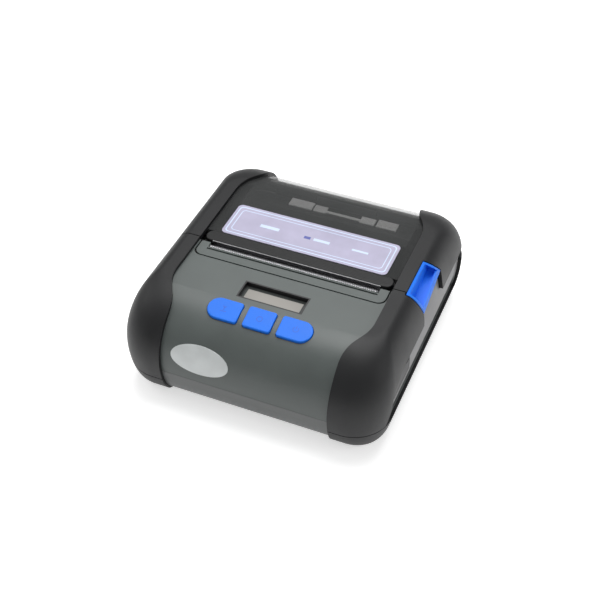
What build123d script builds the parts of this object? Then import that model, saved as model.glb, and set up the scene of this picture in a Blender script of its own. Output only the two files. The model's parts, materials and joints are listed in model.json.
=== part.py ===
from build123d import *
from math import acos, asin, atan2, ceil, cos, degrees, pi, radians, sin, tan
import os

# Portable receipt printer for 112 mm paper. Millimetres.
# +Z is up, +X is the printer's right and -Y its front. Y is measured here from a datum 2.5 mm in front of
# the body's middle. The last step moves the parts so that the origin is the middle of the footprint.

# Overall form
WIDTH = 160.5
DEPTH = 171.0
MIDDLE_Y = 2.5            # the body's middle, behind the datum
HEIGHT = 62.5
WAIST_Z = 29.3            # height at which the body is widest
FRONT_RUN = 35.2          # how far the front and the back roll in towards the top
FLANK_RUN = 14.0          # how far the sides roll in towards the top
FRONT_RUN_LOW = 15.2      # the same two below the waist
FLANK_RUN_LOW = 9.0
CORNER_R = 24.0           # plan corner at the waist
CORNER_R_END = 10.0       # plan corner at the top and at the bottom
FORM_ANGLES = (-90, -74, -55, -35, -16, 0, 16, 35, 54, 69, 81, 90)

# Shells
BUMPER_T = 2.2
WALL = 2.2
BASE_LIFT = 1.2           # the housing's underside above the table
FLOOR_TOP = 3.2
PARTING_Z = 23.0          # joint between the lower and the upper housing
SPLIT_Z = 39.3            # joint between the base and the lid along the sides
SPLIT_GAP = 0.3
MOUTH_Y = -7.3            # paper slit
GAP = 0.3                 # around loose pieces
FIT = 0.05                # radial clearance of a turning fit

# Bumper outline in plan: wide between the deck's sides, narrow at the ends
MID_HALF = 59.7
MID_HALF_END = 50.2
MID_Y = 44.0
MID_Y_END = 61.0
MID_R = 28.0

# Side grooves
GROOVE_Z0 = 12.6
GROOVE_Z1 = 22.0
GROOVE_DEPTH = 3.2
GROOVE_Y0 = -56.0
GROOVE_END = 26.0         # from the groove's back end to the printer's back
BELT_T = 5.2

# Lid hinge at the back
HINGE_INSET = 6.5         # from the back to the pin
HINGE_Z = 38.7
BARREL_R = 4.3
BARREL_END_R = 6.5
HINGE_PIN_R = 1.5
KNUCKLE_HALF = 19.7
BARREL_HALF = 48.8

# Printing mechanism
PLATEN_Y = -0.9
PLATEN_Z = 47.5
PLATEN_R = 6.2
PLATEN_HALF = 55.0
SHAFT_R = 2.5
SHAFT_END_R = 2.0
BUSH_R = 3.4
CHEEK_X = 55.6
CHEEK_T = 2.5
FRAME_X = 58.6            # inner face of the print frame's side plates
FRAME_T = 1.5
FRAME_TOP = 50.5
CROSS_Y = -19.6
PAPER_GAP = 0.15
HEAD_HALF = 54.5
HEAD_T = 0.95
SINK_T = 4.0
SINK_Z0 = 37.5
SINK_Z1 = 55.0
TEAR_HALF = 52.0
TEAR_Y1 = -10.5
TEAR_T = 1.3
TEAR_TOP = 61.0
TEAR_PITCH = 1.3

# Gears
GEAR_M = 0.7
PLATEN_TEETH = 20
IDLER_TEETH = 32
PINION_TEETH = 14
GEAR_X0 = -68.2
GEAR_X1 = -64.2
IDLER_ANGLE = -109.3      # from the platen axis to the idler axis, degrees above +Y
PINION_ANGLE = -128.0     # from the idler axis to the pinion axis
MOTOR_R = 10.5
MOTOR_LENGTH = 20.0
MOTOR_SHAFT_R = 1.5

# Latch and release lever
LATCH_Y = 8.4
LATCH_Z = 38.0
LATCH_R = 2.0
HOOK_X0 = 60.8
HOOK_X1 = 63.3
LEVER_X0 = 67.8
LEVER_PIN_X = 70.6
LEVER_PIN_Z = 44.6
LEVER_PIN_R = 1.0
LEVER_BOSS_R = 2.1
LEVER_ARMS = (2.6, 15.6)
LEVER_ARM_W = 4.8

# Paper well and roll guides
WELL_Y = 40.0
WELL_Z = 33.7
WELL_R = 25.5
WELL_T = 1.4
WELL_HALF = 60.3
GUIDE_X = 56.4            # inner face of a guide, for 112 mm paper
GUIDE_T = 2.4
GUIDE_R = 19.0
GUIDE_TRAVEL = 27.0
HUB_R = 5.6
HUB_LENGTH = 7.0
RACK_M = 0.9
RACK_TEETH = 14
RACK_Z0 = 3.7
RACK_Z1 = 6.2
RACK_W = 4.2

# Battery and boards
BATTERY = (72.6, 36.6, 20.0)
BATTERY_Y = -48.0
BATTERY_Z0 = 3.5
BOARD_Z = 26.0
BOARD_T = 1.6
BOARD_HALF = 66.0
BOARD_Y0 = -72.0
BOARD_Y1 = -30.0
POSTS = ((-58, -62), (58, -62), (-67, 58), (67, 58))
POST_R = 3.2
SCREW_R = 1.4
SCREW_HEAD_R = 2.6

# Deck: display and keys
LCD_HALF = 19.7
LCD_Y0 = -44.4
LCD_Y1 = -30.4
LCD_DEPTH = 2.9
LCD_FRAME = 0.9
KEY_Y = -56.0
KEY_DEPTH = 13.4
KEY_MID_W = 16.4
KEY_SIDE_W = 19.3
KEY_SIDE_X = 21.35
KEY_R = 1.6
KEY_PROUD = 1.0
KEY_BELOW = 4.2
KEY_FLANGE = 0.9
KEY_TRAVEL = 0.8
BEZEL_HALF = 58.0
BEZEL_Y0 = -19.5
BEZEL_T = 2.4
BEZEL_GAP = 0.9

# Lid top
STRIP_HALF = 58.0
STRIP_Y0 = -6.3
STRIP_Y1 = 2.3
STRIP_PROUD = 0.8
TRIM_T = 0.6
WINDOW_T = 2.0
WINDOW_Z0 = 44.0
LEDGE_T = 1.6
LABEL_HALF = 51.7
LABEL_Y0 = 3.1
LABEL_Y1 = 31.2
LABEL_T = 0.3
LABEL_R = 3.0

# Badge on the curved front
BADGE_X = -26.6
BADGE_Z = 38.8
BADGE_A = 17.4
BADGE_B = 8.9
BADGE_T = 0.35

# Port flap on the right side
FLAP_Y0 = -53.0
FLAP_Y1 = -27.0
FLAP_Z0 = 25.0
FLAP_Z1 = 36.6
FLAP_T = 2.0
FLAP_HINGE_R = 0.8

FAR = 110.0
SKIN_X = WIDTH / 2 - BUMPER_T
REAR_Y = MIDDLE_Y + DEPTH / 2
FRONT_Y = MIDDLE_Y - DEPTH / 2
HINGE_Y = REAR_Y - HINGE_INSET
GROOVE_Y1 = REAR_Y - GROOVE_END
DECK_Z = HEIGHT - BUMPER_T
CEILING_Z = DECK_Z - WALL
FOOT = BATTERY[0] / 2 + GAP


def slab(x0, x1, y0, y1, z0, z1):
    """Box between two corners."""
    return Pos((x0 + x1) / 2, (y0 + y1) / 2, (z0 + z1) / 2) * Box(x1 - x0, y1 - y0, z1 - z0)


def rod(x0, x1, y, z, r):
    """Round bar along X."""
    return Pos((x0 + x1) / 2, y, z) * Rot(0, 90, 0) * Cylinder(r, x1 - x0)


def rod_y(y0, y1, x, z, r):
    """Round bar along Y."""
    return Pos(x, (y0 + y1) / 2, z) * Rot(90, 0, 0) * Cylinder(r, y1 - y0)


def post(x, y, z0, z1, r):
    """Round bar along Z."""
    return Pos(x, y, (z0 + z1) / 2) * Cylinder(r, z1 - z0)


def outline(corners):
    """Closed outline from (u, v) or (u, v, radius) corners."""
    face = make_face(Polyline(*[c[:2] for c in corners], close=True))
    for corner in corners:
        if len(corner) > 2:
            vertex = face.vertices().sort_by_distance((corner[0], corner[1], 0))[0]
            face = fillet(vertex, corner[2])
    return face


def plate(corners, x0, x1):
    """Plate across X from an outline in Y and Z."""
    return extrude(Plane.YZ.offset(x0) * outline(corners), amount=x1 - x0, dir=(1, 0, 0))


def flat(face, z0, z1):
    """Upright prism from a plan outline."""
    return extrude(Pos(0, 0, z0) * face, amount=z1 - z0, dir=(0, 0, 1))


def mirrored(shape):
    """The same piece on the other side."""
    return mirror(shape, about=Plane.YZ)


def both_sides(shape):
    return shape + mirrored(shape)


def body_form(inset, floor=0.0):
    """Outer form of the printer, drawn in all round by inset, standing on the height floor."""
    sections = []
    for angle in FORM_ANGLES:
        turn = 1 - cos(radians(angle))
        front = FRONT_RUN if angle > 0 else FRONT_RUN_LOW
        flank = FLANK_RUN if angle > 0 else FLANK_RUN_LOW
        rise = HEIGHT - inset - WAIST_Z if angle > 0 else WAIST_Z - floor
        half_x = WIDTH / 2 - inset - (flank - inset) * turn
        half_y = DEPTH / 2 - inset - (front - inset) * turn
        corner = CORNER_R - inset - (CORNER_R - CORNER_R_END) * turn
        height = WAIST_Z + rise * sin(radians(angle))
        sections.append(Pos(0, MIDDLE_Y, height) * RectangleRounded(2 * half_x, 2 * half_y, corner))
    return loft(sections)


def mid_plan(grow=0.0):
    """Plan of the grey middle between the bumpers, widened by grow."""
    wide = MID_HALF + grow
    narrow = MID_HALF_END + grow
    quarter = [(wide, MID_Y, MID_R), (narrow, MID_Y_END, MID_R), (narrow, FAR)]
    right = [(x, -y, *r) for x, y, *r in reversed(quarter)]
    right += [(x, y + 2 * MIDDLE_Y, *r) for x, y, *r in quarter]
    left = [(-x, y, *r) for x, y, *r in reversed(right)]
    return outline(right + left)


OUTER = body_form(0.0)
HOUSING = body_form(BUMPER_T, BASE_LIFT)
CAVITY = body_form(BUMPER_T + WALL, FLOOR_TOP)
SHELL = HOUSING - CAVITY
RUBBER = OUTER - HOUSING
MIDDLE = flat(mid_plan(), -FAR, FAR)


def lid_space():
    """Everything that the lid and the lever fill: what the base's pieces leave free."""
    z = SPLIT_Z - SPLIT_GAP
    y = MOUTH_Y - 0.6
    lever_side = [(-12.3, 70.0), (-9.8, 62.0), (-5.2, 47.2), (-6.4, 42.6), (y, z), (FAR, z), (FAR, 70.0)]
    space = slab(-FAR, LEVER_X0 - 0.7, y, FAR, z, FAR)
    space += plate(lever_side, LEVER_X0 - 0.7, FAR)
    back_top = HINGE_Z - BARREL_END_R - 2 * GAP
    space += both_sides(rod(BARREL_HALF + GAP, FAR, HINGE_Y, HINGE_Z, BARREL_END_R + GAP))
    space += both_sides(slab(BARREL_HALF + GAP, FAR, HINGE_Y, FAR, back_top, FAR))
    space += slab(-BARREL_HALF - 1, BARREL_HALF + 1, HINGE_Y - BARREL_R - GAP, FAR, HINGE_Z - BARREL_R - GAP, FAR)
    return space


def lid_region():
    """The region that the lid's pieces keep to."""
    z = SPLIT_Z + SPLIT_GAP
    region = slab(-MID_HALF, MID_HALF, STRIP_Y0, FAR, z, FAR)
    region += both_sides(slab(MID_HALF, FAR, MOUTH_Y, FAR, z, FAR))
    region += both_sides(rod(BARREL_HALF + 2 * GAP, FAR, HINGE_Y, HINGE_Z, BARREL_END_R))
    return region - lever_bay(0.4)


def lever_bay(clear):
    """Space of the release lever in the right flank, widened by clear."""
    corners = [(-14.0 - clear, 75.0), (-14.0, SPLIT_Z - 1), (27.5 + clear, SPLIT_Z - 1), (27.5 + clear, 44.0)]
    corners += [(29.3 + clear, 52.4), (11.3 + clear, 75.0)]
    return plate(corners, LEVER_X0 - clear, FAR)


LID_SPACE = lid_space()
LID_REGION = lid_region()


def front_point(y):
    """Height and forward slope, in degrees, of the front's upper curve at y."""
    run = FRONT_RUN - BUMPER_T
    rise = DECK_Z - WAIST_Z
    forward = (FRONT_Y + FRONT_RUN - y) / run
    flat_part = sin(acos(forward))
    return WAIST_Z + rise * flat_part, degrees(atan2(rise * forward, run * flat_part))


def key_plane():
    """Plane of the keys, tangent to the deck's forward slope."""
    z, slope = front_point(KEY_Y)
    tilt = radians(slope)
    return Plane(origin=(0, KEY_Y, z), x_dir=(1, 0, 0), z_dir=(0, -sin(tilt), cos(tilt)))


KEYS = key_plane()


def key_outline(which, grow=0.0):
    """Outline of the left (-1), middle (0) or right (1) key."""
    depth = KEY_DEPTH + 2 * grow
    if which == 0:
        return RectangleRounded(KEY_MID_W + 2 * grow, depth, KEY_R + grow)
    inner = KEY_SIDE_X - KEY_SIDE_W / 2 - grow
    centre = KEY_SIDE_X + KEY_SIDE_W / 2 - KEY_DEPTH / 2
    square = RectangleRounded(centre - inner + depth / 3, depth, KEY_R + grow)
    face = Pos(inner + (centre - inner + depth / 3) / 2, 0) * square + Pos(centre, 0) * Circle(depth / 2)
    face -= Pos(centre + depth, 0) * Rectangle(2 * depth, 2 * depth)
    face += Pos(centre, 0) * Circle(depth / 2)
    return face if which > 0 else mirror(face, about=Plane.YZ)


def on_keys(face, w0, w1):
    """Prism along the key direction from the depth w0 to w1."""
    plane = KEYS.offset(w0)
    return extrude(plane * face, amount=w1 - w0, dir=KEYS.z_dir)


def key(which):
    """Key cap with a rounded top and a flange that keeps it in the deck."""
    cap = on_keys(key_outline(which), -KEY_BELOW, KEY_PROUD)
    top = cap.faces().sort_by(Axis((0, 0, 0), KEYS.z_dir))[-1]
    cap = fillet(top.edges(), 0.6)
    return cap + on_keys(key_outline(which, KEY_FLANGE), -KEY_BELOW, -KEY_BELOW + 0.9)


def side_panel_corners():
    z0 = PARTING_Z + 0.2
    z1 = SPLIT_Z - SPLIT_GAP
    y1 = GROOVE_Y1 + 7
    return [(GROOVE_Y0 - 2, z0), (y1, z0), (y1, z1), (GROOVE_Y0 - 2, z1)]


def lower_housing():
    """Tub with the battery bay, side grooves, posts and the frame's feet."""
    shell = SHELL & slab(-FAR, FAR, -FAR, FAR, -1, PARTING_Z)
    belt = (HOUSING - body_form(BUMPER_T + BELT_T, FLOOR_TOP)) & slab(-FAR, FAR, GROOVE_Y0 - 4, GROOVE_Y1 + 4, 10.4, PARTING_Z)
    belt -= slab(-MID_HALF, MID_HALF, -FAR, FAR, -1, FAR)
    shell += belt
    groove = HOUSING - body_form(BUMPER_T + GROOVE_DEPTH, FLOOR_TOP)
    groove &= both_sides(slab(MID_HALF, FAR, GROOVE_Y0, GROOVE_Y1, GROOVE_Z0, GROOVE_Z1))
    shell -= groove
    bay = FOOT
    y0 = BATTERY_Y - BATTERY[1] / 2 - GAP
    y1 = BATTERY_Y + BATTERY[1] / 2 + GAP
    wall = slab(-bay - 1.3, bay + 1.3, y0 - 1.3, y1 + 1.3, FLOOR_TOP - 0.5, BATTERY_Z0 + BATTERY[2])
    shell += wall
    shell -= slab(-bay, bay, y0, y1, -1, FAR)
    for x, y in POSTS:
        top = BOARD_Z if y < 0 else PARTING_Z
        shell += post(x, y, FLOOR_TOP - 0.5, top, POST_R)
    for x, y in POSTS:
        shell -= post(x, y, -1, FLOOR_TOP, SCREW_HEAD_R + 0.2)
        shell -= post(x, y, FLOOR_TOP, 14.0, SCREW_R)
    shell += slab(FRAME_X - 0.6, FRAME_X + FRAME_T + 0.6, -17, -8, FLOOR_TOP - 0.5, 33.0)
    shell += slab(FRAME_X - 0.6, FRAME_X + FRAME_T + 0.6, 2, 11, FLOOR_TOP - 0.5, 33.0)
    shell += slab(-FRAME_X - FRAME_T - 0.6, -FRAME_X + 0.6, -24, -2, FLOOR_TOP - 0.5, 5.5)
    shell += post(0, WELL_Y, FLOOR_TOP - 0.5, RACK_Z1 + 0.4, SHAFT_END_R - FIT)
    for x in (-50, 50):
        shell += slab(x - 1, x + 1, 18, 62, FLOOR_TOP - 0.5, RACK_Z0 - 0.2)
    saddle = slab(WELL_HALF - 0.7, WELL_HALF + 0.9, WELL_Y - 14, WELL_Y + 14, FLOOR_TOP - 0.5, 15.0)
    shell += both_sides(saddle - rod(0, FAR, WELL_Y, WELL_Z, WELL_R + WELL_T))
    return shell


def upper_housing():
    """Deck and curved front, with its openings."""
    z0 = PARTING_Z + 0.2
    shell = SHELL & slab(-FAR, FAR, -FAR, 0, z0, FAR)
    shell -= LID_SPACE
    shell -= both_sides(plate(side_panel_corners(), MID_HALF, FAR))
    ledge = slab(-MID_HALF + 0.1, MID_HALF - 0.1, BEZEL_Y0 - 3.5, BEZEL_Y0 - BEZEL_GAP, 56.2, CEILING_Z + 0.3)
    ledge += slab(-MID_HALF + 0.1, MID_HALF - 0.1, BEZEL_Y0 - 3.5, BEZEL_Y0 + 1.8, 56.2, DECK_Z - BEZEL_T)
    opening = Pos(0, BEZEL_Y0 - BEZEL_GAP + 10, 0) * RectangleRounded(2 * (BEZEL_HALF + BEZEL_GAP), 20, 5)
    opening += Pos(0, BEZEL_Y0 + 15, 0) * Rectangle(2 * (BEZEL_HALF + BEZEL_GAP), 20)
    shell -= flat(opening, CEILING_Z - 1, FAR)
    shell += ledge
    shell -= slab(-LCD_HALF, LCD_HALF, LCD_Y0, LCD_Y1, CEILING_Z - 5, FAR)
    for which in (-1, 0, 1):
        shell -= on_keys(key_outline(which, GAP), -WALL - 3, 5)
    for side in (-1, 1):
        shell += on_keys(Pos(side * 37.5, 0) * Circle(2.5), -6.2, -1.2)
    return shell


def rear_panel():
    """Back wall with the base's hinge knuckle."""
    z0 = PARTING_Z + 0.2
    wall = SHELL & slab(-FAR, FAR, 0, FAR, z0, FAR)
    wall -= LID_SPACE
    wall -= both_sides(plate(side_panel_corners(), MID_HALF, FAR))
    half = KNUCKLE_HALF
    wall += slab(-half, half, HINGE_Y - 1.5, HINGE_Y + BARREL_R - 0.4, HINGE_Z - BARREL_R - 3, HINGE_Z)
    wall += rod(-half, half, HINGE_Y, HINGE_Z, BARREL_R)
    return wall - rod(-half - 1, half + 1, HINGE_Y, HINGE_Z, HINGE_PIN_R)


def side_panel(with_ports):
    """Light panel between the bumpers and the groove. The right one carries the lever and the ports."""
    corners = side_panel_corners()
    panel = SHELL & plate(corners, MID_HALF, FAR)
    panel -= LID_SPACE
    if not with_ports:
        return mirrored(panel)
    ear = [(-6.0, SPLIT_Z - 2), (-5.0, 41.5), (-4.0, 45.2, 1.0), (26.9, 49.4, 1.0), (26.9, SPLIT_Z - 2)]
    panel += SHELL & plate(ear, LEVER_X0, FAR)
    panel -= slab(MID_HALF, FAR, FLAP_Y0, FLAP_Y1, FLAP_Z0, FLAP_Z1)
    boss = rod_y(8.0, 15.0, LEVER_PIN_X, LEVER_PIN_Z, LEVER_BOSS_R)
    boss += slab(LEVER_PIN_X, SKIN_X - 2.8, 8.0, 15.0, LEVER_PIN_Z - 2, LEVER_PIN_Z + 1)
    panel += boss
    return panel - rod_y(-5, 30, LEVER_PIN_X, LEVER_PIN_Z, LEVER_PIN_R)


def front_bumper(right):
    """Front bumper, drawn on the right: rolls from the deck round the corner down to the lower bumper."""
    edge = [(0.0, 70.0), (0.0, 41.0), (-9.5, 40.6, 2.5), (-46.0, 40.8, 6.0), (-60.0, 36.5, 8.0), (-66.0, 17.0)]
    edge += [(-FAR, 17.0), (-FAR, 70.0)]
    bumper = (RUBBER & plate(edge, 45.0, FAR)) - MIDDLE
    return bumper - (LID_SPACE if right else mirrored(LID_SPACE))


def lower_bumper():
    """Right lower bumper: skid, both corners' feet."""
    edge = [(-FAR, -5.0), (-FAR, 16.4), (-62.0, 16.4), (-57.0, GROOVE_Z0), (GROOVE_Y1 + 0.5, GROOVE_Z0)]
    edge += [(GROOVE_Y1 + 4, 17.0, 2.0)]
    top = HINGE_Z - BARREL_END_R - 2 * GAP
    edge += [(GROOVE_Y1 + 5.5, top, 2.0), (FAR, top), (FAR, -5.0)]
    return (RUBBER & plate(edge, 45.0, FAR)) - MIDDLE - LID_SPACE


def lid_bumper(right):
    """Bumper along one side of the lid."""
    rubber = RUBBER & LID_REGION
    rubber -= MIDDLE
    side = slab(0, FAR, -FAR, FAR, -FAR, FAR) if right else slab(-FAR, 0, -FAR, FAR, -FAR, FAR)
    return rubber & side


def lid_frame():
    """Frame under the bumpers and the window, with the platen cheeks and the hinge barrels."""
    narrow = flat(mid_plan(-0.01), -FAR, FAR)
    rim = (SHELL & LID_REGION) - narrow
    back = SHELL & LID_REGION & narrow & slab(-FAR, FAR, REAR_Y - 23, FAR, 0, WINDOW_Z0 - GAP)
    skin = body_form(BUMPER_T + WINDOW_T, FLOOR_TOP)
    ledge = (skin - body_form(BUMPER_T + WINDOW_T + LEDGE_T, FLOOR_TOP)) & LID_REGION
    ledge &= slab(-63, 63, STRIP_Y1 + 0.2, FAR, SPLIT_Z, FAR)
    ledge -= slab(-53.5, 53.5, 33.5, FAR, WINDOW_Z0 + 3, FAR)
    frame = rim + back + ledge
    frame += slab(-STRIP_HALF, STRIP_HALF, STRIP_Y0, STRIP_Y1 + 1.6, PLATEN_Z + PLATEN_R + 0.8, CEILING_Z)
    cheek = [(-5.9, 44.0, 1.0), (4.6, 44.0, 2.0), (4.6, 55.0), (-5.9, 55.0)]
    frame += both_sides(plate(cheek, CHEEK_X, CHEEK_X + CHEEK_T))
    frame -= rod(-FAR, FAR, PLATEN_Y, PLATEN_Z, BUSH_R)
    barrel = rod(KNUCKLE_HALF + GAP, BARREL_HALF, HINGE_Y, HINGE_Z, BARREL_R)
    frame -= rod(-KNUCKLE_HALF - GAP, KNUCKLE_HALF + GAP, HINGE_Y, HINGE_Z, BARREL_R + GAP)
    frame += both_sides(barrel)
    return frame - rod(-FAR, FAR, HINGE_Y, HINGE_Z, HINGE_PIN_R + FIT)


def lid_window():
    """Smoked cover: flat in front, rolled down at the back."""
    skin = HOUSING - body_form(BUMPER_T + WINDOW_T, FLOOR_TOP)
    window = skin & LID_REGION & flat(mid_plan(-0.1), -FAR, FAR)
    return window & slab(-FAR, FAR, STRIP_Y1 + 0.2, FAR, WINDOW_Z0, FAR)


def lid_front_strip():
    """Raised strip with rounded ends behind the slit."""
    face = Pos(0, (STRIP_Y0 + STRIP_Y1) / 2) * RectangleRounded(2 * STRIP_HALF, STRIP_Y1 - STRIP_Y0, 4.0)
    strip = flat(face, CEILING_Z, DECK_Z + STRIP_PROUD)
    return fillet(strip.faces().sort_by(Axis.Z)[-1].edges(), 0.7)


def lid_edge_trim():
    """Bright strip along the lid's front edge."""
    return slab(-TEAR_HALF, TEAR_HALF, STRIP_Y0 - TRIM_T, STRIP_Y0, PLATEN_Z + PLATEN_R + 1.2, DECK_Z + 0.6)


def lid_label():
    middle = (LABEL_Y0 + LABEL_Y1) / 2
    face = Pos(0, middle) * RectangleRounded(2 * LABEL_HALF, LABEL_Y1 - LABEL_Y0, LABEL_R)
    return flat(face, DECK_Z, DECK_Z + LABEL_T)


def mouth_bezel():
    """Rim in front of and beside the slit. The tear bar lies in its back edge."""
    y1 = MOUTH_Y - 0.6
    face = Pos(0, (BEZEL_Y0 + y1 + 6) / 2) * RectangleRounded(2 * BEZEL_HALF, y1 + 6 - BEZEL_Y0, 4.5)
    face &= Pos(0, (BEZEL_Y0 + y1) / 2) * Rectangle(2 * FAR, y1 - BEZEL_Y0)
    bezel = flat(face, DECK_Z - BEZEL_T, DECK_Z)
    back = TEAR_Y1 - TEAR_T
    bezel -= slab(-TEAR_HALF - 0.6, TEAR_HALF + 0.6, back, FAR, -FAR, FAR)
    bezel -= slab(-TEAR_HALF - 0.6, TEAR_HALF + 0.6, back - 2.1, back - 0.9, DECK_Z - 1.0, FAR)
    return bezel


def tear_bar():
    """Serrated steel strip in the bezel's back edge."""
    count = int(2 * TEAR_HALF / TEAR_PITCH)
    corners = [(-TEAR_HALF, SINK_Z1 + 0.6)]
    for i in range(count):
        x = -TEAR_HALF + i * TEAR_PITCH
        corners.append((x, TEAR_TOP - 0.7))
        corners.append((x + TEAR_PITCH / 2, TEAR_TOP))
    corners += [(TEAR_HALF, TEAR_TOP - 0.7), (TEAR_HALF, SINK_Z1 + 0.6)]
    face = Plane.XZ.offset(-TEAR_Y1) * make_face(Polyline(*corners, close=True))
    return extrude(face, amount=TEAR_T, dir=(0, -1, 0))


def front_badge():
    """Thin oval on the curved front."""
    rise = DECK_Z - WAIST_Z
    run = FRONT_RUN - BUMPER_T
    up = (BADGE_Z - WAIST_Z) / rise
    forward = cos(asin(up))
    tilt = atan2(up / rise, forward / run)
    centre = (BADGE_X, FRONT_Y + FRONT_RUN - run * forward, BADGE_Z)
    plane = Plane(origin=centre, x_dir=(1, 0, 0), z_dir=(0, -cos(tilt), sin(tilt)))
    oval = extrude(plane.offset(-8) * Ellipse(BADGE_A, BADGE_B), amount=16, dir=plane.z_dir)
    return oval & (body_form(BUMPER_T - BADGE_T, BASE_LIFT - BADGE_T) - HOUSING)


def lcd_bezel():
    frame = slab(-LCD_HALF, LCD_HALF, LCD_Y0, LCD_Y1, DECK_Z - LCD_DEPTH, DECK_Z)
    inner = LCD_FRAME
    return frame - slab(-LCD_HALF + inner, LCD_HALF - inner, LCD_Y0 + inner, LCD_Y1 - inner, 0, FAR)


def lcd_glass():
    return slab(-LCD_HALF, LCD_HALF, LCD_Y0, LCD_Y1, DECK_Z - LCD_DEPTH - 1.0, DECK_Z - LCD_DEPTH)


def lcd_module():
    z1 = DECK_Z - LCD_DEPTH - 1.0
    return slab(-LCD_HALF - 4, LCD_HALF + 4, LCD_Y0 - 0.6, LCD_Y1 + 2, z1 - 3.2, z1)


def key_mat():
    """Silicone mat with one dome under each key."""
    mat = on_keys(RectangleRounded(66, 13, 2), -7.0, -6.2)
    for x in (-KEY_SIDE_X, 0, KEY_SIDE_X):
        mat += on_keys(Pos(x, 0) * Circle(3.0), -6.2, -KEY_BELOW - KEY_TRAVEL - 0.05)
    return mat


def key_board():
    board = on_keys(RectangleRounded(82, 13.6, 1), -8.4, -7.0)
    for side in (-1, 1):
        board += on_keys(Pos(side * 37.5, 0) * Rectangle(6, 6), -7.0, -6.2)
    return board


def frame_side(low):
    """Side plate of the print frame: notch for the platen bush, holes for the shafts."""
    corners = [(CROSS_Y, 33.0), (CROSS_Y, FRAME_TOP), (-4.6, FRAME_TOP), (4.2, FRAME_TOP), (12.8, 44.0, 2.0)]
    corners += [(12.8, 33.0)]
    if low:
        corners += [(4.0, 20.0, 4.0), (0.0, 5.5), (-29.5, 5.5), (-29.5, 26.0, 4.0)]
    side = plate(corners, FRAME_X, FRAME_X + FRAME_T)
    notch = plate([(-4.5, 47.5), (-4.5, FAR), (5.7, FAR), (4.5, 60.0), (2.7, 47.5)], FRAME_X - 1, FRAME_X + 3)
    notch += rod(FRAME_X - 1, FRAME_X + 3, PLATEN_Y, PLATEN_Z, BUSH_R + 0.2)
    side -= notch
    side -= rod(FRAME_X - 1, FRAME_X + 3, LATCH_Y, LATCH_Z, LATCH_R + FIT)
    side -= rod(FRAME_X - 1, FRAME_X + 3, HEAD_PIVOT[0], HEAD_PIVOT[1], 1.2 + FIT)
    return side


def print_frame():
    """Bent steel frame that carries the head, the latch, the motor and the idler."""
    frame = slab(-FRAME_X, FRAME_X, CROSS_Y, CROSS_Y + FRAME_T, 33.0, FRAME_TOP)
    left = mirrored(frame_side(True))
    left -= rod(-FRAME_X - 3, -FRAME_X + 1, *IDLER, 1.95)
    left -= rod(-FRAME_X - 3, -FRAME_X + 1, *PINION, 3.0)
    return frame + frame_side(False) + left


def heat_sink():
    back = PLATEN_Y - PLATEN_R - PAPER_GAP - HEAD_T
    sink = slab(-56, 56, back - SINK_T, back, SINK_Z0, SINK_Z1)
    return sink + rod(-FRAME_X - 1, FRAME_X + 1, *HEAD_PIVOT, 1.2)


def thermal_head():
    front = PLATEN_Y - PLATEN_R - PAPER_GAP
    return slab(-HEAD_HALF, HEAD_HALF, front - HEAD_T, front, PLATEN_Z - 8, PLATEN_Z + 6)


def head_springs():
    """Three compression springs behind the heat sink, as plain sleeves."""
    y0 = CROSS_Y + FRAME_T
    y1 = PLATEN_Y - PLATEN_R - PAPER_GAP - HEAD_T - SINK_T
    springs = []
    for x in (-36, 0, 36):
        springs.append(rod_y(y0, y1, x, PLATEN_Z, 2.4) - rod_y(y0, y1, x, PLATEN_Z, 1.7))
    return Compound([s.solid() for s in springs])


def gear_outline(teeth, module, phase, backlash=0.08):
    """Involute gear outline with short teeth. A tooth points at the angle phase, in degrees."""
    pitch_r = teeth * module / 2
    base_r = pitch_r * cos(radians(20))
    tip_r = pitch_r + 0.8 * module
    root_r = pitch_r - 1.1 * module
    half = (pi * module / 2 - backlash) / (2 * pitch_r)
    involute_at_pitch = tan(radians(20)) - radians(20)
    flank = []
    start_r = max(base_r, root_r)
    for i in range(5):
        r = start_r + (tip_r - start_r) * i / 4
        pressure = acos(min(1.0, base_r / r))
        flank.append((r, half + involute_at_pitch - (tan(pressure) - pressure)))
    points = []
    for tooth in range(teeth):
        middle = radians(phase) + 2 * pi * tooth / teeth
        if root_r < start_r:
            points.append((root_r, middle - flank[0][1]))
        points += [(r, middle - a) for r, a in flank]
        points += [(r, middle + a) for r, a in reversed(flank)]
        if root_r < start_r:
            points.append((root_r, middle + flank[0][1]))
    return make_face(Polyline(*[(r * cos(a), r * sin(a)) for r, a in points], close=True))


def gear(teeth, centre, phase, bore):
    """Spur gear across X with its tooth 0 at the angle phase."""
    face = Plane.YZ.offset(GEAR_X0) * (Pos(*centre) * gear_outline(teeth, GEAR_M, phase))
    wheel = extrude(face, amount=GEAR_X1 - GEAR_X0, dir=(1, 0, 0))
    return wheel - rod(GEAR_X0 - 1, GEAR_X1 + 1, *centre, bore)


def beside(centre, angle, teeth_a, teeth_b):
    """Centre of gear b that meshes with gear a in the given direction."""
    reach = GEAR_M * (teeth_a + teeth_b) / 2
    return (centre[0] + reach * cos(radians(angle)), centre[1] + reach * sin(radians(angle)))


PLATEN = (PLATEN_Y, PLATEN_Z)
IDLER = beside(PLATEN, IDLER_ANGLE, PLATEN_TEETH, IDLER_TEETH)
PINION = beside(IDLER, PINION_ANGLE, IDLER_TEETH, PINION_TEETH)
HEAD_PIVOT = (PLATEN_Y - PLATEN_R - PAPER_GAP - HEAD_T - SINK_T / 2, SINK_Z0 + 2.0)
IDLER_PHASE = IDLER_ANGLE + 180
OFFSET = ((PINION_ANGLE - IDLER_PHASE) / (360 / IDLER_TEETH)) % 1.0
PINION_PHASE = PINION_ANGLE + 180 + (0.5 + OFFSET) * 360 / PINION_TEETH


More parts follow.
